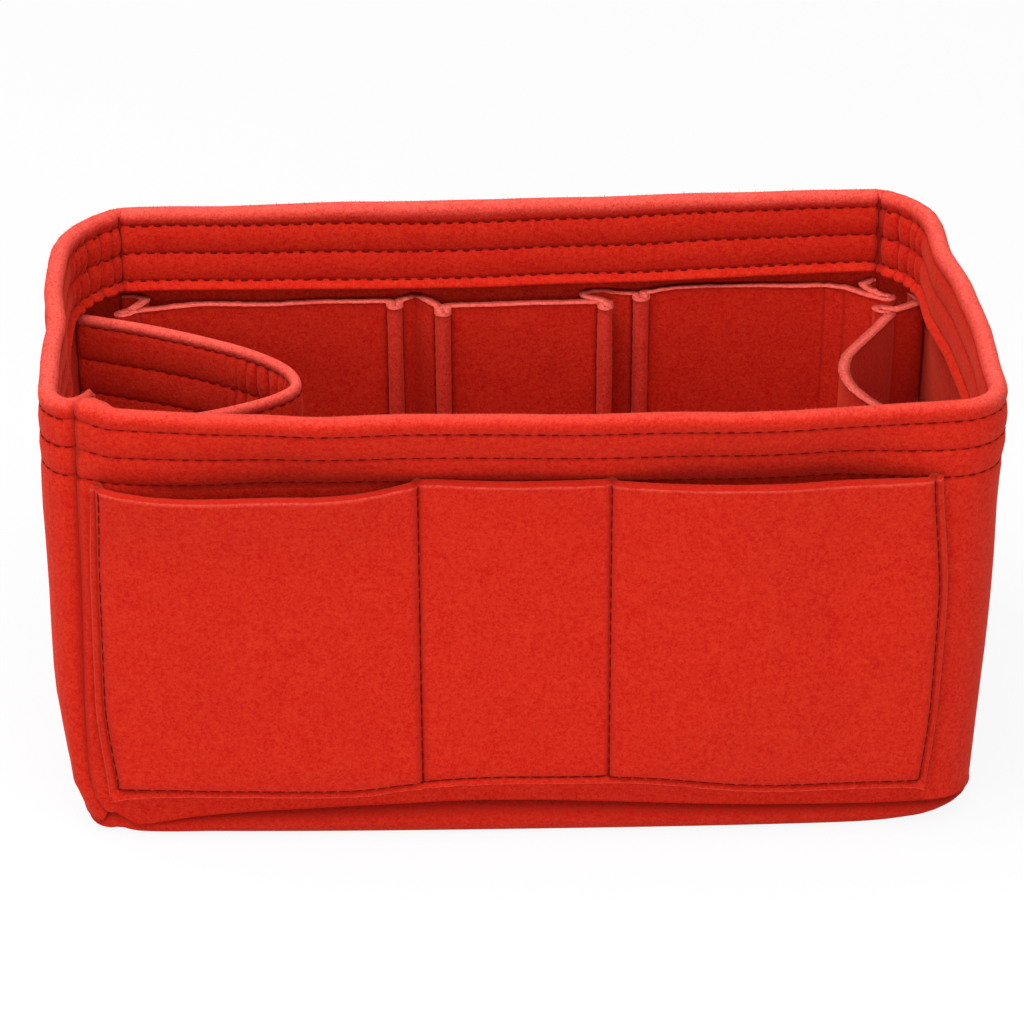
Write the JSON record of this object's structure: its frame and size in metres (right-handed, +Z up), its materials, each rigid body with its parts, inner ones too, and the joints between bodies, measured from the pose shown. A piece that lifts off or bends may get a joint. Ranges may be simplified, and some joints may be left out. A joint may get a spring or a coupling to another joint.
{
  "type": "purse organizer insert",
  "caption": "Open felt box that stands in a handbag and divides it, with sewn front pockets, pleated inner pockets, a bowed end pocket and a hemmed bottle loop.",
  "frame": {"origin": "under the middle of the box's outline, on the surface that it stands on", "axes": "+X along the length towards the bowed end pocket, +Y from the front pockets to the back wall, +Z up"},
  "size_m": [0.3102, 0.1766, 0.156],
  "materials": {
    "felt": "thick red needle felt, matt, with short surface fibres"
  },
  "bodies": {
    "root": {"bottom_panel": "felt", "front_and_right_wall": "felt", "back_wall": "felt", "left_wall": "felt", "front_pocket_panel": "felt", "back_pocket_strip": "felt", "right_pocket_strip": "felt", "left_bottle_loop": "felt"}
  },
  "joints": []
}
